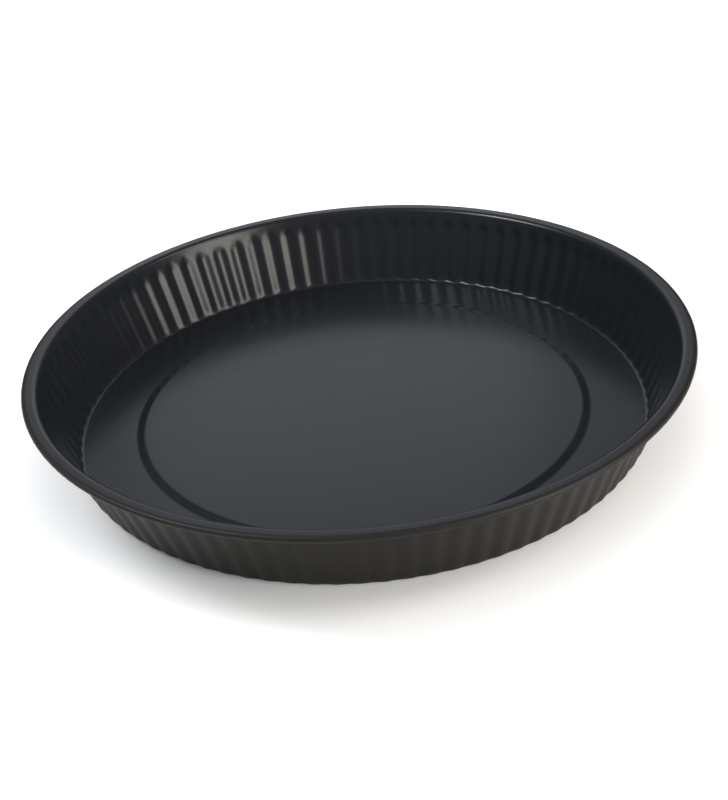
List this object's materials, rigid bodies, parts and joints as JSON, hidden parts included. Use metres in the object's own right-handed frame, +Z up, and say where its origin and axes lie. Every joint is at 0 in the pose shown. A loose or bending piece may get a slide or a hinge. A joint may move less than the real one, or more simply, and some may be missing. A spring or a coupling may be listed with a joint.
{
  "type": "tart pan",
  "caption": "Shallow round tart pan of black coated steel, with a fluted flared wall, a rolled rim and a raised centre disc in its base.",
  "frame": {"origin": "on the ground under the pan's centre, in the plane of the flat ring that the pan stands on", "axes": "+Z up out of the pan; +X through the middle of a flute, where the rim wire's two ends meet"},
  "size_m": [0.294, 0.2938, 0.0365],
  "materials": {
    "black_coating": "satin black non-stick coating baked on steel sheet",
    "galvanised_wire": "dull drawn steel wire"
  },
  "bodies": {
    "root": {"pan_body": "black_coating", "rim_wire": "galvanised_wire"}
  },
  "joints": []
}
